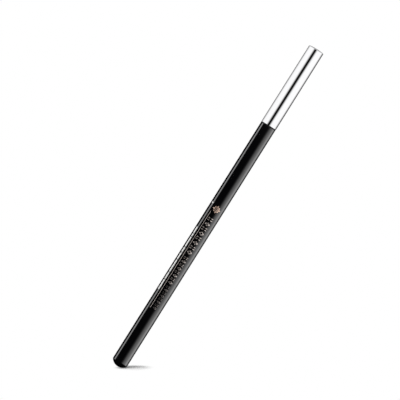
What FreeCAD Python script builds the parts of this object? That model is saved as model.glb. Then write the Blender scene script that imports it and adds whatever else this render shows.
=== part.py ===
import FreeCAD, Part
import math
import os
from FreeCAD import Vector

# A round wood-cased eyeliner pencil, lacquered all over, with a drawn metal cap over its sharpened end.
# Millimetres. The origin is the lowest point of the domed end, and +Z runs along the pencil to its point.

# Barrel
barrel_diameter = 8.0        # over the lacquer
pencil_length = 172.5        # from the domed end to the point of the lead
dome_height = 2.6            # of the rounded blind end
dome_edge_radius = 1.0       # where the dome turns into the barrel

# Layers, from the outside in
lacquer_thickness = 0.12
undercoat_thickness = 0.15
core_diameter = 3.0

# Sharpened end
cone_half_angle = 14.0       # degrees
tip_radius = 0.3             # the soft core is a little blunt

# Seat that the cap slips onto
seat_step = 0.17             # how far the barrel drops in at the mouth of the cap

# Cap
cap_length = 43.25
cap_wall = 0.15              # at the closed end
cap_draft = 0.1              # degrees, outside only, so the drawn wall thickens towards its rim
cap_rim_chamfer = 0.05       # breaks both corners of the trimmed rim
cap_edge_radius = 0.5        # outside, where the wall turns into the crown
cap_crown_rise = 0.25        # how far the crown stands above that edge
tip_room = 6.65              # free length in the cap above the point

# Clearances
cap_clearance = 0.03         # radial, between the seat and the cap
rim_gap = 0.05               # between the rim of the cap and the step of the seat
cutter_margin = 1.0          # how far a cutting shape runs past what it cuts

# Dependent sizes
barrel_radius = barrel_diameter / 2
core_radius = core_diameter / 2
casing_inset = lacquer_thickness + undercoat_thickness
cone_angle = math.radians(cone_half_angle)
blank_length = pencil_length + cutter_margin
cap_top = pencil_length + tip_room + cap_wall
cap_mouth = cap_top - cap_length
cap_dome_height = cap_edge_radius + cap_crown_rise
seat_start = cap_mouth - rim_gap
seat_radius = barrel_radius - seat_step
cap_bore_radius = seat_radius + cap_clearance
cap_radius = cap_bore_radius + cap_wall
cap_wall_height = cap_length - cap_dome_height
cap_mouth_radius = cap_radius + cap_wall_height * math.tan(math.radians(cap_draft))


def point(radius, height):
    return Vector(radius, 0, height)


def turned(start, *steps):
    """Revolves a closed outline about Z. A step is a corner, or a pair: a point on an arc, and its end."""
    edges = []
    here = start
    for step in [*steps, start]:
        if isinstance(step, tuple):
            passed, there = step
            edges.append(Part.Arc(here, passed, there).toShape())
        else:
            there = step
            edges.append(Part.LineSegment(here, there).toShape())
        here = there
    section = Part.Face(Part.Wire(edges))
    return section.revolve(Vector(0, 0, 0), Vector(0, 0, 1), 360)


def rounded_end(radius, height, edge, inset, pole, inward):
    """Five points from the pole of a rounded end to its side: a shallow crown, then a tighter edge.

    Every layer takes the same two centres, so inset layers keep an even thickness.
    The end lies above its pole where inward is 1, and below it where inward is -1.
    """
    crown = ((radius - edge) ** 2 + height ** 2 - edge ** 2) / (2 * (height - edge))
    crown_centre = point(0, pole + inward * crown)
    edge_centre = point(radius - edge, pole + inward * height)
    turn = math.atan2(crown - height, radius - edge)

    def on_arc(centre, arc_radius, angle):
        return centre + point(arc_radius * math.cos(angle), -inward * arc_radius * math.sin(angle))

    return [
        on_arc(crown_centre, crown - inset, math.pi / 2),
        on_arc(crown_centre, crown - inset, (math.pi / 2 + turn) / 2),
        on_arc(crown_centre, crown - inset, turn),
        on_arc(edge_centre, edge - inset, turn / 2),
        on_arc(edge_centre, edge - inset, 0),
    ]


def blank(inset):
    """The unsharpened pencil, down to a depth under its surface: dome, barrel, step and seat."""
    pole, crown_middle, turn, edge_middle, side = rounded_end(
        barrel_radius, dome_height, dome_edge_radius, inset, 0, 1
    )
    step_height = seat_start - inset
    return turned(
        pole,
        (crown_middle, turn),
        (edge_middle, side),
        point(barrel_radius - inset, step_height),
        point(seat_radius - inset, step_height),
        point(seat_radius - inset, blank_length),
        point(0, blank_length),
    )


def sharpened_space():
    """All that the sharpener leaves: the inside of its cone, with the blunt point, and the barrel below."""
    tip_centre = pencil_length - tip_radius
    cone_top = point(tip_radius * math.cos(cone_angle), tip_centre + tip_radius * math.sin(cone_angle))
    nose_angle = (cone_angle + math.pi / 2) / 2
    nose = point(tip_radius * math.cos(nose_angle), tip_centre + tip_radius * math.sin(nose_angle))
    outside = barrel_radius + cutter_margin
    cone_foot = cone_top.z - (outside - cone_top.x) / math.tan(cone_angle)
    return turned(
        point(0, -cutter_margin),
        point(outside, -cutter_margin),
        point(outside, cone_foot),
        cone_top,
        (nose, point(0, pencil_length)),
    )


def core_bore():
    return Part.makeCylinder(core_radius, blank_length + cutter_margin, Vector(0, 0, -cutter_margin))


def half_space(side):
    """The half of the casing's space on one side of the glue line, which lies in the plane x = 0."""
    reach = barrel_radius + cutter_margin
    length = blank_length + 2 * cutter_margin
    corner = Vector(min(0, side * reach), -reach, -cutter_margin)
    return Part.makeBox(reach, 2 * reach, length, corner)


def core():
    """The pigmented lead, which runs the whole length of the casing."""
    return blank(casing_inset).common(core_bore()).common(sharpened_space())


def slat(side):
    """One of the two grooved wooden halves, glued round the core, turned, and sharpened with it."""
    casing = blank(casing_inset).cut(core_bore()).common(sharpened_space())
    return casing.common(half_space(side))


def coat(top, bottom):
    """A coat of even thickness between two depths, round the blind end and up to the sharpener's cut."""
    return blank(top).cut(blank(bottom)).common(sharpened_space())


def cap():
    """A deep-drawn cap: straight bore, slight draft outside, crowned closed end and trimmed rim."""
    outer_end = rounded_end(cap_radius, cap_dome_height, cap_edge_radius, 0, cap_top, -1)
    inner_end = rounded_end(cap_radius, cap_dome_height, cap_edge_radius, cap_wall, cap_top, -1)
    rim_corner_height = cap_mouth + cap_rim_chamfer
    return turned(
        outer_end[0],
        (outer_end[1], outer_end[2]),
        (outer_end[3], outer_end[4]),
        point(cap_mouth_radius, rim_corner_height),
        point(cap_mouth_radius - cap_rim_chamfer, cap_mouth),
        point(cap_bore_radius + cap_rim_chamfer, cap_mouth),
        point(cap_bore_radius, rim_corner_height),
        inner_end[4],
        (inner_end[3], inner_end[2]),
        (inner_end[1], inner_end[0]),
    )


nodes = {
    "core": core(),
    "slat_left": slat(-1),
    "slat_right": slat(1),
    "undercoat": coat(lacquer_thickness, casing_inset),
    "lacquer": coat(0, lacquer_thickness),
    "cap": cap(),
}

os.makedirs("parts", exist_ok=True)
for name, shape in nodes.items():
    shape.exportStep(f"parts/{name}.step")
    box = shape.BoundBox
    print(f"{name}: {len(shape.Solids)} solid, {shape.Volume:.2f} mm3, z {box.ZMin:.2f} to {box.ZMax:.2f}")
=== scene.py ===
import math
import random

import bmesh
import bpy
import numpy as np
from mathutils import Matrix, Vector


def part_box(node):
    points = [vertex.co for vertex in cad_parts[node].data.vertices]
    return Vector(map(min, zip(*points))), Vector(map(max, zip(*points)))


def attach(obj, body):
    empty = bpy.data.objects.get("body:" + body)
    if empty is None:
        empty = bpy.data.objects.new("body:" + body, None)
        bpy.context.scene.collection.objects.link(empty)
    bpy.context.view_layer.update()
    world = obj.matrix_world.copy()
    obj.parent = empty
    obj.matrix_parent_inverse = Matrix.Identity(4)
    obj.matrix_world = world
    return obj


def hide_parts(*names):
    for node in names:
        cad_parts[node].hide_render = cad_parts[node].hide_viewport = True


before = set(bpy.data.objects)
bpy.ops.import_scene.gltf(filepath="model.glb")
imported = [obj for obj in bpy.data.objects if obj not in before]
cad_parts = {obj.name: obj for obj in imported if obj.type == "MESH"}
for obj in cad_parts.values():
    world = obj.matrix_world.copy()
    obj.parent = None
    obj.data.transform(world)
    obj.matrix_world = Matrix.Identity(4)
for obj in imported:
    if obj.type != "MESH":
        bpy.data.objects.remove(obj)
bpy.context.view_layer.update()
print("frame loaded:", ", ".join(sorted(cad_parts)))

mm = 0.001


# Shader helpers

class Wire:
    # a socket's value in a shader, with plain arithmetic
    def __init__(self, shader, socket):
        self.shader = shader
        self.socket = socket

    def maths(self, operation, first, second):
        return self.shader.add("ShaderNodeMath", {"operation": operation}, {0: first, 1: second})

    def __add__(self, other):
        return self.maths("ADD", self, other)

    def __radd__(self, other):
        return self.maths("ADD", other, self)

    def __sub__(self, other):
        return self.maths("SUBTRACT", self, other)

    def __rsub__(self, other):
        return self.maths("SUBTRACT", other, self)

    def __mul__(self, other):
        return self.maths("MULTIPLY", self, other)

    def __rmul__(self, other):
        return self.maths("MULTIPLY", other, self)

    def __truediv__(self, other):
        return self.maths("DIVIDE", self, other)

    def __rtruediv__(self, other):
        return self.maths("DIVIDE", other, self)


class Shader:
    # a node tree that is filled through one method
    def __init__(self, owner):
        owner.use_nodes = True
        self.owner = owner
        self.tree = owner.node_tree
        self.tree.nodes.clear()

    def add(self, kind, settings=None, values=None, out=0):
        node = self.tree.nodes.new(kind)
        for name, setting in (settings or {}).items():
            if name == "stops":
                self.setStops(node.color_ramp, setting)
            else:
                setattr(node, name, setting)
        for name, value in (values or {}).items():
            socket = node.inputs[name]
            if isinstance(value, Wire):
                self.tree.links.new(value.socket, socket)
            elif socket.type == "RGBA":
                socket.default_value = (*value, 1)
            else:
                socket.default_value = value
        return Wire(self, node.outputs[out]) if len(node.outputs) else None

    def setStops(self, ramp, stops):  # a stop is a place on the ramp and a grey level
        while len(ramp.elements) > 1:
            ramp.elements.remove(ramp.elements[-1])
        for index, (place, level) in enumerate(stops):
            element = ramp.elements[0] if index == 0 else ramp.elements.new(place)
            element.position = place
            element.color = (level, level, level, 1)

    def place(self):  # where a point lies on its piece, in millimetres
        point = self.add("ShaderNodeTexCoord", out="Object")
        return self.add("ShaderNodeVectorMath", {"operation": "SCALE"}, {0: point, "Scale": 1 / mm})

    def coordinate(self, place, axis):
        return self.add("ShaderNodeSeparateXYZ", None, {0: place}, out=axis)

    def fromLine(self, place, x=0.0, y=0.0):  # distance from a line that runs up through x and y
        flat = self.add("ShaderNodeVectorMath", {"operation": "MULTIPLY"}, {0: place, 1: (1, 1, 0)})
        values = {0: flat, 1: (x, y, 0)}
        return self.add("ShaderNodeVectorMath", {"operation": "DISTANCE"}, values, out="Value")

    def noise(self, place, scale, detail=3.0, roughness=0.55, lengthwise=1.0):
        # lengthwise scales the pattern again along the pencil: under 1 draws it out
        place = self.add("ShaderNodeVectorMath", {"operation": "MULTIPLY"}, {0: place, 1: (1, 1, lengthwise)})
        values = {"Vector": place, "Scale": scale, "Detail": detail, "Roughness": roughness}
        return self.add("ShaderNodeTexNoise", None, values, out="Fac")

    def fade(self, value, start, end):  # 0 at start, 1 at end, smooth between
        settings = {"interpolation_type": "SMOOTHSTEP"}
        return self.add("ShaderNodeMapRange", settings, {"Value": value, "From Min": start, "From Max": end})

    def mix(self, factor, first, second):
        values = {"Factor": factor, 6: first, 7: second}
        return self.add("ShaderNodeMix", {"data_type": "RGBA"}, values, out=2)

    def bumps(self, *layers):  # a layer is a pattern, its depth in millimetres and its strength
        normal = None
        for pattern, depth, strength in layers:
            values = {"Height": pattern, "Distance": depth * mm, "Strength": strength}
            if normal is not None:
                values["Normal"] = normal
            normal = self.add("ShaderNodeBump", None, values)
        return normal

    def finishSurface(self, values):
        surface = self.add("ShaderNodeBsdfPrincipled", None, values)
        self.add("ShaderNodeOutputMaterial", None, {"Surface": surface})
        return self.owner


def newMaterial(name):
    return Shader(bpy.data.materials.new(name))


# Sizes that the frame gives

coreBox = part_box("core")
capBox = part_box("cap")
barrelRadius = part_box("lacquer")[1][0]
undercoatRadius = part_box("undercoat")[1][0]
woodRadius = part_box("slat_right")[1][0]
coreRadius = coreBox[1][0]
tipHeight = coreBox[1][2]
capMouth = capBox[0][2]
capTop = capBox[1][2]
capMouthRadius = capBox[1][0]
lacquerThickness = barrelRadius - undercoatRadius
casingInset = barrelRadius - woodRadius
print(f"barrel {barrelRadius / mm:.2f} mm in radius, cap from {capMouth / mm:.2f} to {capTop / mm:.2f} mm")


# Turned meshes

turnSettings = {
    "segments": 192,      # round a whole turn, divisible by 4 so that the glue line falls on a column
    "crownSteps": 22,     # rings over a rounded end
    "edgeSteps": 12,      # rings round its edge
    "sharpAngle": 32,     # degrees; a sharper fold keeps its edge
    "onAxis": 1e-6 * mm,  # a ring smaller than this is one point
}


def linkObject(name, data):
    made = bpy.data.objects.new(name, data)
    bpy.context.scene.collection.objects.link(made)
    return made


def keepPiece(name, mesh, material, body, replaced=()):
    piece = linkObject(name, mesh)
    piece.data.materials.append(material)
    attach(piece, body)
    if replaced:
        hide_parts(*replaced)
    return piece


def plainMesh(name, build):
    mesh = bpy.data.meshes.new(name)
    build.to_mesh(mesh)
    build.free()
    return mesh


def smoothMesh(name, build):
    bmesh.ops.recalc_face_normals(build, faces=build.faces)
    mesh = plainMesh(name, build)
    mesh.shade_smooth()
    mesh.set_sharp_from_angle(angle=math.radians(turnSettings["sharpAngle"]))
    return mesh


def turnAngles(start=0, sweep=360):
    segments = turnSettings["segments"]
    count = round(segments * sweep / 360)
    angles = math.radians(start) + np.arange(count + 1) * math.tau / segments
    return angles[:-1] if sweep == 360 else angles


def turnedMesh(name, rings, angles, closedSection=False):
    # rings are (radius, height) pairs, each a number or one value for every angle
    whole = len(angles) == turnSettings["segments"]
    build = bmesh.new()
    columns = []
    for radius, height in rings:
        radius = np.broadcast_to(radius, angles.shape)
        height = np.broadcast_to(height, angles.shape)
        if radius.max() < turnSettings["onAxis"]:
            columns.append([build.verts.new((0, 0, float(height[0])))] * len(angles))
            continue
        points = zip(radius * np.cos(angles), radius * np.sin(angles), height)
        columns.append([build.verts.new(point) for point in points])
    pairs = list(zip(columns, columns[1:]))
    if closedSection:
        pairs.append((columns[-1], columns[0]))
    steps = len(angles) if whole else len(angles) - 1
    for lower, upper in pairs:
        for i in range(steps):
            j = (i + 1) % len(angles)
            corners = dict.fromkeys((lower[i], lower[j], upper[j], upper[i]))
            if len(corners) > 2:
                build.faces.new(corners)
    if not whole:
        for i in (0, -1):
            build.faces.new([column[i] for column in columns])
    return smoothMesh(name, build)


def crownRadius(radius, height, edge):
    # of the shallow crown that runs into an edge of the given radius
    return ((radius - edge) ** 2 + height ** 2 - edge ** 2) / (2 * (height - edge))


def roundedEnd(radius, height, edge, inset, pole, inward, crownSteps, edgeSteps):
    # rings from the pole to the side: a crown, then a tighter edge tangent to it
    crown = crownRadius(radius, height, edge)
    turn = math.atan2(crown - height, radius - edge)
    rings = []
    for step in range(crownSteps):
        angle = math.pi / 2 + (turn - math.pi / 2) * step / crownSteps
        reach = (crown - inset) * math.cos(angle) if step else 0.0
        rings.append((reach, pole + inward * (crown - (crown - inset) * math.sin(angle))))
    for step in range(edgeSteps + 1):
        angle = turn * (1 - step / edgeSteps)
        reach = radius - edge + (edge - inset) * math.cos(angle)
        rings.append((reach, pole + inward * (height - (edge - inset) * math.sin(angle))))
    return rings


# The sharpened end, which every layer shares

pointSettings = {
    "coneHalfAngle": 14.0,                    # degrees
    "tipRadius": 0.3 * mm,
    "noseSteps": 8,                           # rings over the blunt tip
    "seatStep": 0.17 * mm,                    # how far the barrel drops in under the cap
    "seed": 11,
    "wobble": 0.072 * mm,                     # how far the cutter wandered off the pencil's axis, at most
    "wobbleWaves": (1, 2, 3, 5, 8),           # how often it did so in a turn
    "underUneven": 0.0374 * mm,               # how much the depth of the undercoat varies, at most
    "underWaves": (3, 4, 7, 9, 13, 22),
    "overUneven": 0.022 * mm,                 # and that of the lacquer
    "overWaves": (2, 5, 8, 11, 17, 29),
}
coneAngle = math.radians(pointSettings["coneHalfAngle"])
tipCentre = tipHeight - pointSettings["tipRadius"]
coneApex = tipCentre + pointSettings["tipRadius"] / math.sin(coneAngle)
seatRadius = barrelRadius - pointSettings["seatStep"]
coneFoot = coneApex - seatRadius / math.tan(coneAngle)


def waves(counts, reach):
    # a sum of whole waves round a turn that swings no further than the reach
    parts = [(count, random.uniform(0, math.tau), random.uniform(0.5, 1)) for count in counts]
    total = sum(size for count, phase, size in parts)

    def swing(angles):
        return reach * sum(size * np.sin(count * angles + phase) for count, phase, size in parts) / total

    return swing


random.seed(pointSettings["seed"])
cutterWander = waves(pointSettings["wobbleWaves"], pointSettings["wobble"])
underWander = waves(pointSettings["underWaves"], pointSettings["underUneven"])
overWander = waves(pointSettings["overWaves"], pointSettings["overUneven"])


def woodEdge(angles):
    return seatRadius - casingInset + underWander(angles)


def undercoatEdge(angles):
    return seatRadius - lacquerThickness + overWander(angles)


def cutRings(radiusLow, radiusHigh, angles, steps):
    # rings along the cone, from a layer's outer edge up to its inner one
    rings = []
    for step in range(steps + 1):
        radius = radiusLow + (radiusHigh - radiusLow) * step / steps
        wander = cutterWander(angles) * np.clip(radius / seatRadius, 0, 1)
        rings.append((radius, coneApex - (radius - wander) / math.tan(coneAngle)))
    return rings


# Lacquer

lacquerSettings = {
    "domeHeight": 2.6 * mm,
    "domeEdge": 1.0 * mm,
    "rimGap": 0.05 * mm,                # between the step of the seat and the rim of the cap
    "stepRound": 0.035 * mm,            # softened corner of that step
    "black": (0.0019, 0.0019, 0.0023),
    "cut": (0.012, 0.009, 0.008),       # its edge on the cone
    "scuffed": (0.011, 0.011, 0.012),
    "gloss": 0.075,                     # roughness before any wear
    "rub": 0.09,                        # roughness that the cap's slide adds
    "ringReach": 0.6,                   # mm below the cap, where its rim has dulled the gloss
    "ringDull": 0.85,
    "peel": {"scale": 0.9, "detail": 2.0, "lengthwise": 0.45},
    "flow": {"scale": 5.0, "lengthwise": 0.015},
    "nibs": {"scale": 3.6, "detail": 1.0},
    "dust": {"scale": 9.0, "detail": 2.0},
    "scuffs": {"scale": 3.2, "detail": 5.0, "roughness": 0.7, "lengthwise": 0.12},
    "slides": {"scale": 7.0, "detail": 4.0, "roughness": 0.7, "lengthwise": 0.02},
}


def domeRings(inset):
    look = lacquerSettings
    steps = (turnSettings["crownSteps"], turnSettings["edgeSteps"])
    return roundedEnd(barrelRadius, look["domeHeight"], look["domeEdge"], inset, 0, 1, *steps)


def shoulderRings(inset, soften=0.0, steps=4):
    # the step from the barrel to the seat
    height = capMouth - lacquerSettings["rimGap"] - inset
    if not soften:
        return [(barrelRadius - inset, height), (seatRadius - inset, height)]
    rings = []
    for step in range(steps + 1):
        angle = math.pi / 2 * step / steps
        reach = barrelRadius - soften + soften * math.cos(angle)
        rings.append((reach, height - soften + soften * math.sin(angle)))
    return rings + [(seatRadius, height)]


def makeLacquerMaterial():
    look = lacquerSettings
    shader = newMaterial("black gloss lacquer")
    place = shader.place()
    height = shader.coordinate(place, "Z")
    radius = shader.fromLine(place)
    peel = shader.noise(place, **look["peel"])
    flow = shader.noise(place, **look["flow"])
    nibs = shader.fade(shader.noise(place, **look["nibs"]), 0.73, 0.82)
    dust = shader.noise(place, **look["dust"])
    scuffs = shader.noise(place, **look["scuffs"])
    slides = shader.fade(shader.noise(place, **look["slides"]), 0.45, 0.65)
    edge = seatRadius / mm
    foot = coneFoot / mm
    mouth = capMouth / mm
    cutFace = shader.fade(radius, edge - 0.004, edge - 0.02)
    cutFace = cutFace * shader.fade(height, foot - 1.08, foot - 0.68)  # leaves out the domed end
    seat = shader.fade(height, mouth - 0.2, mouth + 0.1) * slides
    ringLow = mouth - look["ringReach"]
    ring = shader.fade(height, ringLow - 0.1, ringLow + 0.1) * shader.fade(height, mouth + 0.05, mouth - 0.02)
    colour = shader.mix(cutFace, look["black"], look["cut"])
    colour = shader.mix(shader.fade(scuffs, 0.62, 0.8) * 0.35, colour, look["scuffed"])
    roughness = look["gloss"] + peel * 0.03 + shader.fade(scuffs, 0.55, 0.8) * 0.07 + seat * look["rub"]
    roughness = roughness + cutFace * 0.35 + ring * look["ringDull"]
    bumped = shader.bumps((peel, 0.0025, 1.0), (flow, 0.0012, 0.7), (nibs, 0.003, 0.8), (dust, 0.0006, 0.7))
    return shader.finishSurface({"Base Color": colour, "Roughness": roughness, "Normal": bumped, "IOR": 1.5})


def makeLacquer():
    angles = turnAngles()
    rings = domeRings(0) + shoulderRings(0, lacquerSettings["stepRound"])
    rings += cutRings(seatRadius, undercoatEdge(angles), angles, steps=4)
    rings += shoulderRings(lacquerThickness)[::-1] + domeRings(lacquerThickness)[::-1]
    mesh = turnedMesh("lacquerCoat", rings, angles)
    return keepPiece("lacquerCoat", mesh, makeLacquerMaterial(), "pencil", ["lacquer"])


lacquerCoat = makeLacquer()
print("lacquer coat made")


# Undercoat

undercoatSettings = {
    "cream": (0.72, 0.60, 0.45),
    "stain": (0.36, 0.24, 0.16),
    "chalk": (0.86, 0.78, 0.66),
    "blotch": {"scale": 1.6, "detail": 4.0},
    "fleck": {"scale": 11.0},
}


def makeUndercoatMaterial():
    look = undercoatSettings
    shader = newMaterial("cream undercoat")
    place = shader.place()
    blotch = shader.noise(place, **look["blotch"])
    fleck = shader.noise(place, **look["fleck"])
    colour = shader.mix(shader.fade(blotch, 0.45, 0.75) * 0.6, look["cream"], look["stain"])
    colour = shader.mix(shader.fade(fleck, 0.6, 0.75) * 0.4, colour, look["chalk"])
    bumped = shader.bumps((fleck, 0.006, 0.8))
    return shader.finishSurface({"Base Color": colour, "Roughness": 0.55 + blotch * 0.2, "Normal": bumped})


def makeUndercoat():
    angles = turnAngles()
    rings = domeRings(lacquerThickness) + shoulderRings(lacquerThickness)
    rings += cutRings(undercoatEdge(angles), woodEdge(angles), angles, steps=3)
    rings += shoulderRings(casingInset)[::-1] + domeRings(casingInset)[::-1]
    mesh = turnedMesh("undercoatLayer", rings, angles)
    return keepPiece("undercoatLayer", mesh, makeUndercoatMaterial(), "pencil", ["undercoat"])


undercoatLayer = makeUndercoat()
print("undercoat made")


# Wooden slats

slatSettings = {
    "sides": {  # start is where a half begins, in degrees; pith is the middle of the tree's rings, in mm
        # the left half is a redder wood, and its darker colours also carry painted shade on that side of the
        # cone
        "left": {
            "start": 90, "pith": (-31.0, 12.0),
            "pale": (0.48, 0.190, 0.105), "dark": (0.29, 0.088, 0.040),
        },
        "right": {
            "start": -90, "pith": (27.0, -19.0),
            "pale": (0.76, 0.41, 0.200), "dark": (0.51, 0.22, 0.080),
        },
    },
    "pore": (0.20, 0.085, 0.045),
    "stain": (0.78, 0.46, 0.26),
    "paleNearLead": (0.80, 0.60, 0.46),   # paler wood in a thin ring next to the lead
    "smudge": (0.07, 0.045, 0.035),  # lead wiped over the wood
    "glue": (0.25, 0.12, 0.07),
    "ringsPerMm": 1.5,
    "swayReach": 1.3,                # mm that the rings wander
    "sway": {"scale": 0.4, "lengthwise": 0.12},
    "fibres": {"scale": 9.0, "detail": 5.0, "roughness": 0.65, "lengthwise": 0.03},
    "hairs": {"scale": 24.0, "roughness": 0.6, "lengthwise": 0.05},
    "pores": {"scale": 20.0, "detail": 1.0, "lengthwise": 0.09},
    "blotch": {"scale": 0.6, "lengthwise": 0.4},
    "scored": {"scale": 0.91, "roughness": 0.6, "lengthwise": 4 / 0.35},
    "footMargin": 0.02,              # rings of the dome as near as this to the lead's side are left out
}


def makeWoodMaterial(side):
    look = slatSettings
    half = look["sides"][side]
    shader = newMaterial(f"{side} slat wood")
    place = shader.place()
    radius = shader.fromLine(place)
    fibres = shader.noise(place, **look["fibres"])
    hairs = shader.noise(place, **look["hairs"])
    pores = shader.noise(place, **look["pores"])
    blotch = shader.noise(place, **look["blotch"])
    scored = shader.noise(place, **look["scored"])
    fromPith = shader.fromLine(place, *half["pith"]) + shader.noise(place, **look["sway"]) * look["swayReach"]
    ring = shader.add("ShaderNodeMath", {"operation": "FRACT"}, {0: fromPith * look["ringsPerMm"]})
    lateWood = shader.fade(ring, 0.45, 0.95) * shader.fade(ring, 1.0, 0.95)
    grain = lateWood * 0.42 + fibres * 0.75 + hairs * 0.35 - 0.42
    # grain between a half's two tones; the left half's tones are darkened further as painted shade
    colour = shader.mix(grain, half["pale"], half["dark"])
    colour = shader.mix(shader.fade(pores, 0.66, 0.74) * 0.45, colour, look["pore"])
    colour = shader.mix(shader.fade(blotch, 0.42, 0.75) * 0.30, colour, look["stain"])
    leadEdge = coreRadius / mm
    # paler ring of wood next to the lead
    paleNearLead = shader.fade(radius, leadEdge + 0.20, leadEdge + 0.03)
    colour = shader.mix(paleNearLead * (hairs * 0.8 + 0.25), colour, look["paleNearLead"])
    smudged = shader.fade(radius, leadEdge + 0.05, leadEdge - 0.01) * shader.fade(fibres, 0.42, 0.6)
    colour = shader.mix(smudged * 0.8, colour, look["smudge"])
    fromGlue = shader.add("ShaderNodeMath", {"operation": "ABSOLUTE"}, {0: shader.coordinate(place, "X")})
    colour = shader.mix(shader.fade(fromGlue, 0.04, 0.008) * (hairs * 0.6 + 0.2), colour, look["glue"])
    bumped = shader.bumps((fibres, 0.03, 0.6), (scored, 0.016, 0.5), (pores, 0.012, 0.5))
    return shader.finishSurface({"Base Color": colour, "Roughness": 0.50 + fibres * 0.25, "Normal": bumped})


def leadFoot():
    # where the side of the lead meets the domed end
    return coreRadius, np.interp(coreRadius, *zip(*domeRings(casingInset)))


def makeSlat(side):
    look = slatSettings
    angles = turnAngles(look["sides"][side]["start"], 180)
    innermost = coreRadius * (1 + look["footMargin"])
    rings = [leadFoot()] + [ring for ring in domeRings(casingInset) if ring[0] > innermost]
    rings += shoulderRings(casingInset)
    rings += cutRings(woodEdge(angles), coreRadius, angles, steps=40)
    mesh = turnedMesh(f"{side}Slat", rings, angles, closedSection=True)
    return keepPiece(f"{side}Slat", mesh, makeWoodMaterial(side), "pencil", [f"slat_{side}"])


slats = [makeSlat(side) for side in slatSettings["sides"]]
print("slats made:", len(slats))


# Lead

leadSettings = {
    "black": (0.0045, 0.0042, 0.0045),
    "worn": (0.014, 0.0125, 0.012),
    "grain": {"scale": 14.0, "detail": 4.0, "roughness": 0.65},
    "strokes": {"scale": 2.2, "lengthwise": 7.0},
    "smear": {"scale": 2.4, "lengthwise": 0.3},
}


def makeLeadMaterial():
    look = leadSettings
    shader = newMaterial("waxy black lead")
    place = shader.place()
    grain = shader.noise(place, **look["grain"])
    strokes = shader.noise(place, **look["strokes"])
    smear = shader.noise(place, **look["smear"])
    colour = shader.mix(shader.fade(smear, 0.45, 0.75) * 0.8, look["black"], look["worn"])
    roughness = 0.30 + grain * 0.22 - shader.fade(smear, 0.5, 0.7) * 0.08
    bumped = shader.bumps((strokes, 0.010, 0.6), (grain, 0.008, 0.5))
    return shader.finishSurface({"Base Color": colour, "Roughness": roughness, "Normal": bumped, "IOR": 1.4})


def makeLead():
    angles = turnAngles()
    tipRadius = pointSettings["tipRadius"]
    outermost = coreRadius * (1 - slatSettings["footMargin"])
    rings = [ring for ring in domeRings(casingInset) if ring[0] < outermost] + [leadFoot()]
    rings += cutRings(coreRadius, tipRadius * math.cos(coneAngle), angles, steps=24)
    noseSteps = pointSettings["noseSteps"]
    for step in range(1, noseSteps + 1):
        angle = coneAngle + (math.pi / 2 - coneAngle) * step / noseSteps
        reach = tipRadius * math.cos(angle) if step < noseSteps else 0.0
        rings.append((reach, tipCentre + tipRadius * math.sin(angle)))
    mesh = turnedMesh("leadCore", rings, angles)
    return keepPiece("leadCore", mesh, makeLeadMaterial(), "pencil", ["core"])


leadCore = makeLead()
print("lead core made")


# Cap

capSettings = {
    "endWall": 0.15 * mm,
    "draft": 0.1,                    # degrees, outside
    "edge": 0.5 * mm,
    "crownRise": 0.25 * mm,
    "rimBreak": 0.05 * mm,
    "rimRound": 0.3,                 # where the middle of that broken corner lies, as a share of it
    "crownSteps": 26,
    "edgeSteps": 16,
    "innerEdgeSteps": 10,
    "bright": (0.95, 0.95, 0.96),
    "drawn": (0.84, 0.84, 0.855),    # fine lines left by the drawing die
    "handled": (0.84, 0.85, 0.87),
    "inside": (0.62, 0.62, 0.63),
    "drawLines": {"scale": 16.0, "lengthwise": 0.02},
    "handling": {"scale": 0.55, "detail": 4.0, "roughness": 0.6},
    "hairlines": {"scale": 5.0, "detail": 6.0, "roughness": 0.75, "lengthwise": 0.3},
}
capDomeHeight = capSettings["edge"] + capSettings["crownRise"]
capTaper = (capTop - capMouth - capDomeHeight) * math.tan(math.radians(capSettings["draft"]))
capRadius = capMouthRadius - capTaper
capBoreRadius = capRadius - capSettings["endWall"]


def makeCapMaterial():
    look = capSettings
    shader = newMaterial("bright drawn aluminium")
    place = shader.place()
    bore = capBoreRadius / mm
    inside = shader.fade(shader.fromLine(place), bore + 0.09, bore + 0.05)
    drawLines = shader.noise(place, **look["drawLines"])
    handling = shader.noise(place, **look["handling"])
    hairlines = shader.noise(place, **look["hairlines"])
    colour = shader.mix(shader.fade(drawLines, 0.42, 0.68) * 0.5, look["bright"], look["drawn"])
    colour = shader.mix(inside, colour, look["inside"])
    colour = shader.mix(shader.fade(handling, 0.55, 0.8) * 0.10, colour, look["handled"])
    roughness = 0.045 + drawLines * 0.03 + shader.fade(handling, 0.5, 0.8) * 0.05 + inside * 0.28
    roughness = roughness + shader.fade(hairlines, 0.68, 0.78) * 0.10
    values = {"Base Color": colour, "Metallic": 1.0, "Roughness": roughness}
    values["Normal"] = shader.bumps((drawLines, 0.0007, 0.6))
    return shader.finishSurface(values)


def capEnd(inset, edgeSteps):
    look = capSettings
    sizes = (capRadius, capDomeHeight, look["edge"], inset)
    return roundedEnd(*sizes, capTop, -1, look["crownSteps"], edgeSteps)


def makeCap():
    look = capSettings
    rim = look["rimBreak"]
    halfway = rim * look["rimRound"]
    rings = capEnd(0, look["edgeSteps"])
    rings += [
        (capMouthRadius, capMouth + rim),
        (capMouthRadius - halfway, capMouth + halfway),
        (capMouthRadius - rim, capMouth),
        (capBoreRadius + rim, capMouth),
        (capBoreRadius + halfway, capMouth + halfway),
        (capBoreRadius, capMouth + rim),
    ]
    rings += capEnd(look["endWall"], look["innerEdgeSteps"])[::-1]
    mesh = turnedMesh("capShell", rings, turnAngles())
    return keepPiece("capShell", mesh, makeCapMaterial(), "cap", ["cap"])


capShell = makeCap()
print("cap made")


# Print on the barrel, laid out on its unrolled surface: across from the line that faces the camera,
# and up from the domed end

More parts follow.
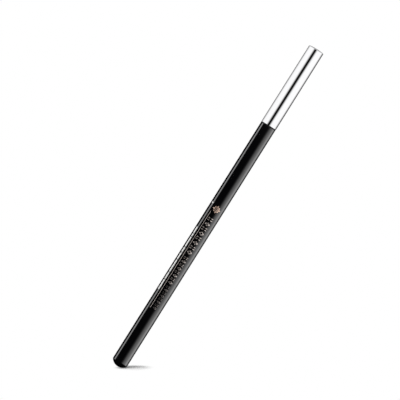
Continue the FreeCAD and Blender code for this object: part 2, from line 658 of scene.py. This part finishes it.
printSettings = {
    "thickness": 0.007 * mm,
    "sunk": 0.003 * mm,
    "weld": 1e-4 * mm,
    "finest": 0.23,             # mm, as below; widest face, so that the print follows the round barrel
    "pinstripe": {"across": -1.785, "width": 0.14, "low": 32.3, "high": 86.6},
    "motifRows": {
        "foilLargeMotifs": {
            "foil": "dulled foil", "across": 0.27, "low": 64.5, "pitch": 2.66, "count": 8,
            "wide": 2.75, "tall": 1.8, "stroke": 0.36,
        },
        "foilSmallMotifs": {
            "foil": "dulled foil", "across": 0.26, "low": 47.4, "pitch": 1.98, "count": 8,
            "wide": 2.25, "tall": 1.25, "stroke": 0.24,
        },
        "foilFaintMotifs": {
            "foil": "thin foil", "across": 0.34, "low": 33.1, "pitch": 1.7, "count": 8,
            "wide": 1.95, "tall": 1.1, "stroke": 0.19,
        },
    },
    "figureTall": 1.1,          # lozenges and flowers, as a share of the motif's height
    "barOffset": 0.3,           # bars, as shares of the motif's size
    "barWidth": 0.34,
    "leafStart": 0.24,          # a flower's leaves, as shares of their reach
    "leafWidth": 0.64,
    "rosette": {
        "across": 0.3, "height": 88.7, "ringWidth": 1.3, "ringStroke": 0.32,
        "leafStart": 0.78, "leafWidth": 0.82, "leafReaches": (2.1, 2.1 * 0.86) * 4,
    },
    "dashes": {
        "across": -3.585, "width": 0.84, "low": 41.8, "high": 76.9, "gap": 0.46, "shortest": 0.5,
        "lengths": (1.3, 2.6, 3.6, 5.4, 6.6), "seed": 12,
    },
    "edgeTick": {"across": -3.55, "width": 0.84, "height": 90.3, "tall": 0.75},
    "foils": {
        "dulled foil": {
            "deep": (0.50, 0.44, 0.40), "pale": (0.66, 0.60, 0.56),
            "bare": (0.040, 0.034, 0.032), "rub": 0.5,
        },
        "thin foil": {
            "deep": (0.22, 0.195, 0.18), "pale": (0.34, 0.305, 0.29),
            "bare": (0.040, 0.034, 0.032), "rub": 0.6,
        },
        "copper foil": {
            "deep": (0.62, 0.42, 0.32), "pale": (0.78, 0.61, 0.50),
            "bare": (0.035, 0.026, 0.022), "rub": 0.7,
        },
    },
    "mottle": {"scale": 2.5},
    "pinholes": {"scale": 12.0, "detail": 2.0},
    "rubbing": {"scale": 3.4, "detail": 4.0, "roughness": 0.65, "lengthwise": 0.6},
    "ink": (0.93, 0.93, 0.91),
    "thinInk": (0.66, 0.66, 0.65),
    "inkCover": {"scale": 7.0},
}


def onBarrel(across, up, lift):
    radius = barrelRadius + lift
    angle = across * mm / barrelRadius - math.pi / 2
    return radius * math.cos(angle), radius * math.sin(angle), up * mm


def liftedRows(build, edges, lift):
    return [[build.verts.new(onBarrel(*point, lift)) for point in edge] for edge in edges]


def printedPiece(name, bands, material):
    # a band lies between two edges with as many points each, and is closed where it runs round
    build = bmesh.new()
    for first, second, closed in bands:
        widest = max(math.dist(*ends) for ends in zip(first, second))
        rows = max(1, math.ceil(widest / printSettings["finest"]))
        edges = []
        for row in range(rows + 1):
            edges.append([tuple(Vector(a).lerp(Vector(b), row / rows)) for a, b in zip(first, second)])
        top = liftedRows(build, edges, printSettings["thickness"])
        low = liftedRows(build, edges, -printSettings["sunk"])
        count = len(first)
        for i in range(count if closed else count - 1):
            j = (i + 1) % count
            for row in range(rows):
                build.faces.new((top[row][i], top[row][j], top[row + 1][j], top[row + 1][i]))
                build.faces.new((low[row][i], low[row + 1][i], low[row + 1][j], low[row][j]))
            build.faces.new((top[0][i], low[0][i], low[0][j], top[0][j]))
            build.faces.new((top[-1][i], top[-1][j], low[-1][j], low[-1][i]))
        if not closed:
            for i in (0, -1):
                for row in range(rows):
                    build.faces.new((top[row][i], top[row + 1][i], low[row + 1][i], low[row][i]))
    bmesh.ops.remove_doubles(build, verts=build.verts, dist=printSettings["weld"])
    bmesh.ops.dissolve_degenerate(build, edges=build.edges, dist=printSettings["weld"])
    return keepPiece(name, smoothMesh(name, build), material, "pencil")


def blockBand(across, low, width, tall, steps=5):
    places = [across - width / 2 + width * step / steps for step in range(steps + 1)]
    return [(place, low) for place in places], [(place, low + tall) for place in places], False


def lozengeBand(centre, wide, tall, stroke, perSide=6):
    # a lozenge's outline, and its copy a stroke further in
    inset = stroke * math.hypot(1 / wide, 1 / tall) * 2
    corners = [Vector((wide / 2, 0)), Vector((0, tall / 2)), Vector((-wide / 2, 0)), Vector((0, -tall / 2))]
    outline = []
    for i in range(4):
        for step in range(perSide):
            outline.append(corners[i].lerp(corners[(i + 1) % 4], step / perSide))
    outer, inner = [
        [(centre[0] + point.x * size, centre[1] + point.y * size) for point in outline]
        for size in (1, 1 - inset)
    ]
    return outer, inner, True


def ringBand(centre, width, stroke, points=20):
    turns = [math.tau * i / points for i in range(points)]
    outer, inner = [
        [(centre[0] + reach * math.cos(turn), centre[1] + reach * math.sin(turn)) for turn in turns]
        for reach in (width / 2, width / 2 - stroke)
    ]
    return outer, inner, True


def leafBand(centre, direction, start, end, width, steps=9):
    # a leaf that points out from a centre, fuller towards its foot
    along = Vector((math.cos(direction), math.sin(direction)))
    aside = Vector((-along.y, along.x))
    sides = ([], [])
    for step in range(steps + 1):
        part = step / steps
        middle = Vector(centre) + along * (start + (end - start) * part)
        half = width / 2 * math.sin(math.pi * part ** 0.75)
        sides[0].append(tuple(middle + aside * half))
        sides[1].append(tuple(middle - aside * half))
    return sides[0], sides[1], False


def flowerBands(centre, wide, tall):
    # four leaves round a gap
    bands = []
    for quarter in range(4):
        reach = (tall if quarter % 2 else wide) / 2
        start = reach * printSettings["leafStart"]
        width = reach * printSettings["leafWidth"]
        bands.append(leafBand(centre, math.tau * quarter / 4, start, reach, width))
    return bands


def barBands(centre, wide, tall, stroke):
    # two short bars below and two above, side by side
    bands = []
    for sideways in (-1, 1):
        for upward in (-1, 1):
            across = centre[0] + sideways * wide * printSettings["barOffset"]
            low = centre[1] + upward * tall * printSettings["barOffset"] - stroke / 2
            bands.append(blockBand(across, low, wide * printSettings["barWidth"], stroke))
    return bands


def motifBands(row):
    # lozenges and flowers by turns, with short bars after each
    wide, tall, stroke = row["wide"], row["tall"], row["stroke"]
    figureTall = tall * printSettings["figureTall"]
    bands = []
    for index in range(row["count"]):
        centre = (row["across"], row["low"] + row["pitch"] * index)
        if index % 2:
            bands += barBands(centre, wide, tall, stroke)
        elif index % 4:
            bands += flowerBands(centre, wide, figureTall)
        else:
            bands.append(lozengeBand(centre, wide, figureTall, stroke))
    return bands


def rosetteBands():
    look = printSettings["rosette"]
    centre = (look["across"], look["height"])
    reaches = look["leafReaches"]
    bands = [ringBand(centre, look["ringWidth"], look["ringStroke"])]
    for index, reach in enumerate(reaches):
        direction = math.tau * index / len(reaches)
        bands.append(leafBand(centre, direction, look["leafStart"], reach, look["leafWidth"]))
    return bands


def dashBands():
    # a white line broken into dashes of uneven length, and a lone one above
    look = printSettings["dashes"]
    random.seed(look["seed"])
    bands = []
    height = look["low"]
    while height < look["high"] - look["shortest"]:
        tall = min(random.choice(look["lengths"]), look["high"] - height)
        bands.append(blockBand(look["across"], height, look["width"], tall))
        height += tall + look["gap"]
    tick = printSettings["edgeTick"]
    bands.append(blockBand(tick["across"], tick["height"], tick["width"], tick["tall"]))
    return bands


def makeFoilMaterial(name):
    look = printSettings["foils"][name]
    shader = newMaterial(name)
    place = shader.place()
    mottle = shader.noise(place, **printSettings["mottle"])
    pinholes = shader.noise(place, **printSettings["pinholes"])
    rubbed = shader.fade(shader.noise(place, **printSettings["rubbing"]), 0.63, 0.70) * look["rub"]
    colour = shader.mix(shader.fade(mottle, 0.35, 0.7), look["deep"], look["pale"])
    colour = shader.mix(shader.fade(pinholes, 0.66, 0.74) * 0.7, colour, look["bare"])
    colour = shader.mix(rubbed, colour, look["bare"])
    roughness = 0.26 + mottle * 0.16 + rubbed * 0.2
    values = {"Base Color": colour, "Metallic": 0.85, "Roughness": roughness}
    values["Normal"] = shader.bumps((pinholes, 0.002, 0.5))
    return shader.finishSurface(values)


def makeInkMaterial():
    shader = newMaterial("white ink")
    cover = shader.noise(shader.place(), **printSettings["inkCover"])
    thin = shader.fade(cover, 0.55, 0.78) * 0.5
    colour = shader.mix(thin, printSettings["ink"], printSettings["thinInk"])
    bumped = shader.bumps((cover, 0.002, 0.5))
    return shader.finishSurface({"Base Color": colour, "Roughness": 0.42 + cover * 0.15, "Normal": bumped})


def makePrint():
    foils = {name: makeFoilMaterial(name) for name in printSettings["foils"]}
    line = printSettings["pinstripe"]
    stripe = blockBand(line["across"], line["low"], line["width"], line["high"] - line["low"], steps=2)
    pieces = [printedPiece("foilPinstripe", [stripe], foils["dulled foil"])]
    for name, row in printSettings["motifRows"].items():
        pieces.append(printedPiece(name, motifBands(row), foils[row["foil"]]))
    pieces.append(printedPiece("foilRosette", rosetteBands(), foils["copper foil"]))
    pieces.append(printedPiece("inkDashes", dashBands(), makeInkMaterial()))
    return pieces


printPieces = makePrint()
print("print made:", len(printPieces), "pieces")


# Camera

cameraSettings = {
    "frame": 400,                     # pixels
    "domePixel": (117.45, 366.24),    # lowest point of the domed end
    "topPixel": (316.78, 48.96),      # middle of the cap's crown
    "distance": 1.9,
    "sensor": 36.0,
    "clip": (0.1, 20),
}


def facing(right, upward):  # a turn that brings X to the right and Y upward
    return Matrix((right, upward, right.cross(upward))).transposed().to_4x4()


def makeCamera():
    look = cameraSettings
    across = look["topPixel"][0] - look["domePixel"][0]
    up = look["domePixel"][1] - look["topPixel"][1]
    lean = math.atan2(across, up)
    metresPerPixel = capTop / math.hypot(across, up)
    right = Vector((math.cos(lean), 0, math.sin(lean)))
    upward = Vector((-math.sin(lean), 0, math.cos(lean)))
    back = right.cross(upward)
    middle = look["frame"] / 2
    aim = right * (middle - look["domePixel"][0]) + upward * (look["domePixel"][1] - middle)
    aim *= metresPerPixel
    lens = bpy.data.cameras.new("camera")
    lens.sensor_width = look["sensor"]
    lens.lens = look["sensor"] * look["distance"] / (metresPerPixel * look["frame"])
    lens.clip_start, lens.clip_end = look["clip"]
    camera = linkObject("camera", lens)
    camera.matrix_world = Matrix.Translation(aim + back * look["distance"]) @ facing(right, upward)
    bpy.context.scene.camera = camera
    return right, upward, back


imageRight, imageUp, imageBack = makeCamera()
print("camera placed")


# Floor, which leans under the pencil as it does in the picture and shows its shadow alone

floorSettings = {
    "angle": 5.8,                # degrees that the camera looks down on it
    "reach": 16 * mm,
    "gap": 0.02 * mm,            # under the domed end
    "shadowMiddle": 5.2 * mm,    # to the right of the domed end
    "fadeStart": 4.2 * mm,       # where it starts to fade into the white background
    "fadeEnd": 10.5 * mm,
    "pale": 0.75,
    "even": 0.08,                # how much of that white is everywhere
}


def makeFloor():
    look = floorSettings
    tilt = math.radians(look["angle"])
    normal = (imageUp * math.cos(tilt) + imageBack * math.sin(tilt)).normalized()
    crown = crownRadius(barrelRadius, lacquerSettings["domeHeight"], lacquerSettings["domeEdge"])
    touch = Vector((0, 0, crown)) - normal * (crown + look["gap"])
    build = bmesh.new()
    bmesh.ops.create_circle(build, cap_ends=True, segments=96, radius=look["reach"])
    floor = linkObject("floor", plainMesh("floor", build))
    middle = touch + imageRight * look["shadowMiddle"]
    floor.matrix_world = Matrix.Translation(middle) @ facing(imageRight, normal.cross(imageRight))
    shader = newMaterial("white floor")
    reach = shader.fromLine(shader.add("ShaderNodeTexCoord", out="Object"))
    pale = shader.add("ShaderNodeBsdfDiffuse", None, {"Color": (look["pale"],) * 3})
    white = shader.add("ShaderNodeEmission", None, {"Color": (1, 1, 1), "Strength": 1.0})
    faded = shader.fade(reach, look["fadeStart"], look["fadeEnd"]) * (1 - look["even"]) + look["even"]
    lit = shader.add("ShaderNodeMixShader", None, {0: faded, 1: pale, 2: white})
    clear = shader.add("ShaderNodeBsdfTransparent")
    under = shader.add("ShaderNodeNewGeometry", out="Backfacing")
    both = shader.add("ShaderNodeMixShader", None, {0: under, 1: lit, 2: clear})
    shader.add("ShaderNodeOutputMaterial", None, {"Surface": both})
    floor.data.materials.append(shader.owner)
    floor.visible_glossy = False
    floor.visible_diffuse = False
    return floor, touch


floor, touch = makeFloor()
print("floor laid")


# Light: a plain white room, soft lamps, and two shells that only reflections see

lightSettings = {
    "room": 0.30,
    "keyLamp": {"watts": 6.8, "size": (0.5, 0.5), "place": (-0.65, -0.70, 0.50)},
    "fillLamp": {"watts": 3.0, "size": (0.6, 0.6), "place": (0.75, -0.55, 0.25)},
    "backLamp": {"watts": 4.0, "size": (0.8, 0.8), "place": (0.35, 0.95, 0.30)},
    "floorLamp": {"watts": 15.0, "size": (1.3, 0.9), "rise": 1.0, "forward": 0.5},
    # a shell's azimuths run from the camera's side towards +X, and its heights from straight down,
    # both in degrees and each with how bright the shell is there
    "tent": {
        "radius": 0.42,
        "peak": 1.06,
        "azimuths": [
            (-180, 0.10), (-142, 0.18), (-124, 0.58), (-104, 0.97), (-52, 1.0), (-34, 0.85), (-25, 0.28),
            (-17, 0.0), (2, 0.0), (9, 0.24), (19, 0.82), (34, 1.0), (98, 1.0), (114, 0.58), (132, 0.08),
            (180, 0.08),
        ],
        "overhead": 0.50,
        "heights": [(-90, 0.55), (-50, 0.9), (-10, 1.0), (60, 1.0), (90, 0.8)],
    },
    "strips": {
        "radius": 0.378,
        "peak": 4.5,
        "azimuths": [
            (-180, 0.0), (-132, 0.0), (-111, 0.0), (-104, 0.52), (-98, 1.0), (-87, 1.0), (-82, 0.12),
            (-78, 0.0), (-60, 0.0), (6, 0.0), (15, 0.01), (27, 0.06), (41, 0.31), (56, 0.51), (74, 0.67),
            (90, 0.99), (101, 1.0), (110, 0.56), (124, 0.08), (140, 0.02), (180, 0.02),
        ],
        "overhead": 0.12,
        "heights": [(-90, 0.0), (-40, 0.0), (-22, 1.0), (75, 1.0), (90, 0.3)],
    },
    "overheadFrom": (16, 38),    # degrees up, between which a shell turns to its overhead level
}


def makeRoom():
    shader = Shader(bpy.data.worlds.new("room"))
    rays = ("Camera", "Glossy", "Transmission")
    white, *others = [shader.add("ShaderNodeLightPath", out=f"Is {ray} Ray") for ray in rays]
    for seen in others:
        white = shader.add("ShaderNodeMath", {"operation": "MAXIMUM"}, {0: white, 1: seen})
    level = lightSettings["room"] + white * (1 - lightSettings["room"])
    glow = shader.add("ShaderNodeBackground", None, {"Color": level, "Strength": 1.0})
    shader.add("ShaderNodeOutputWorld", None, {"Surface": glow})
    bpy.context.scene.world = shader.owner


def linkLight(source, receivers):
    group = bpy.data.collections.new(f"{source.name}Receivers")
    for piece in receivers:
        group.objects.link(piece)
    source.light_linking.receiver_collection = group


def aimed(place):  # a lamp's place, turned to the middle of the pencil
    toMiddle = Vector((0, 0, capTop / 2)) - Vector(place)
    return Matrix.Translation(place) @ toMiddle.to_track_quat("-Z", "Y").to_matrix().to_4x4()


def makeLamp(name, receivers, matrix):
    look = lightSettings[name]
    light = bpy.data.lights.new(name, "AREA")
    light.energy = look["watts"]
    light.shape = "RECTANGLE"
    light.size, light.size_y = look["size"]
    lamp = linkObject(name, light)
    lamp.matrix_world = matrix
    lamp.visible_glossy = False
    lamp.visible_camera = False
    linkLight(lamp, receivers)


def makeShell(name, look, seenBy, letsThrough):
    build = bmesh.new()
    bmesh.ops.create_uvsphere(build, u_segments=64, v_segments=32, radius=look["radius"])
    bmesh.ops.reverse_faces(build, faces=build.faces)
    shell = linkObject(name, plainMesh(name, build))
    shell.location = (0, 0, capTop / 2)
    shader = newMaterial(name)
    place = shader.add("ShaderNodeTexCoord", out="Object")
    across, along, up = [shader.coordinate(place, axis) for axis in "XYZ"]
    turn = shader.add("ShaderNodeMath", {"operation": "ARCTAN2"}, {0: across, 1: along * -1})
    height = shader.add("ShaderNodeMath", {"operation": "ARCSINE"}, {0: up / look["radius"]})
    stops = [((azimuth + 180) / 360, level) for azimuth, level in look["azimuths"]]
    around = shader.add("ShaderNodeValToRGB", {"stops": stops}, {"Fac": turn / math.tau + 0.5})
    stops = [((degrees + 90) / 180, level) for degrees, level in look["heights"]]
    upward = shader.add("ShaderNodeValToRGB", {"stops": stops}, {"Fac": height / math.pi + 0.5})
    above = shader.fade(height, *(math.radians(degrees) for degrees in lightSettings["overheadFrom"]))
    level = (around * (1 - above) + above * look["overhead"]) * upward
    glow = shader.add("ShaderNodeEmission", None, {"Color": level, "Strength": look["peak"]})
    if letsThrough:
        clear = shader.add("ShaderNodeBsdfTransparent")
        glow = shader.add("ShaderNodeAddShader", None, {0: glow, 1: clear})
    shader.add("ShaderNodeOutputMaterial", None, {"Surface": glow})
    shell.data.materials.append(shader.owner)
    shell.visible_camera = False
    shell.visible_diffuse = False
    shell.visible_shadow = False
    shell.visible_transmission = False
    linkLight(shell, seenBy)


def makeLight():
    makeRoom()
    brightPieces = [capShell, undercoatLayer, *slats, *printPieces]
    darkPieces = [lacquerCoat, leadCore]
    for name in ("keyLamp", "fillLamp", "backLamp"):
        makeLamp(name, brightPieces + darkPieces, aimed(lightSettings[name]["place"]))
    look = lightSettings["floorLamp"]
    overhead = touch + imageUp * look["rise"] + imageBack * look["forward"]
    makeLamp("floorLamp", [floor], Matrix.Translation(overhead) @ facing(imageRight, -imageBack))
    makeShell("whiteTent", lightSettings["tent"], brightPieces, False)
    makeShell("lacquerStrips", lightSettings["strips"], darkPieces, True)
    bpy.context.scene.view_settings.view_transform = "Standard"


makeLight()
print("light set")
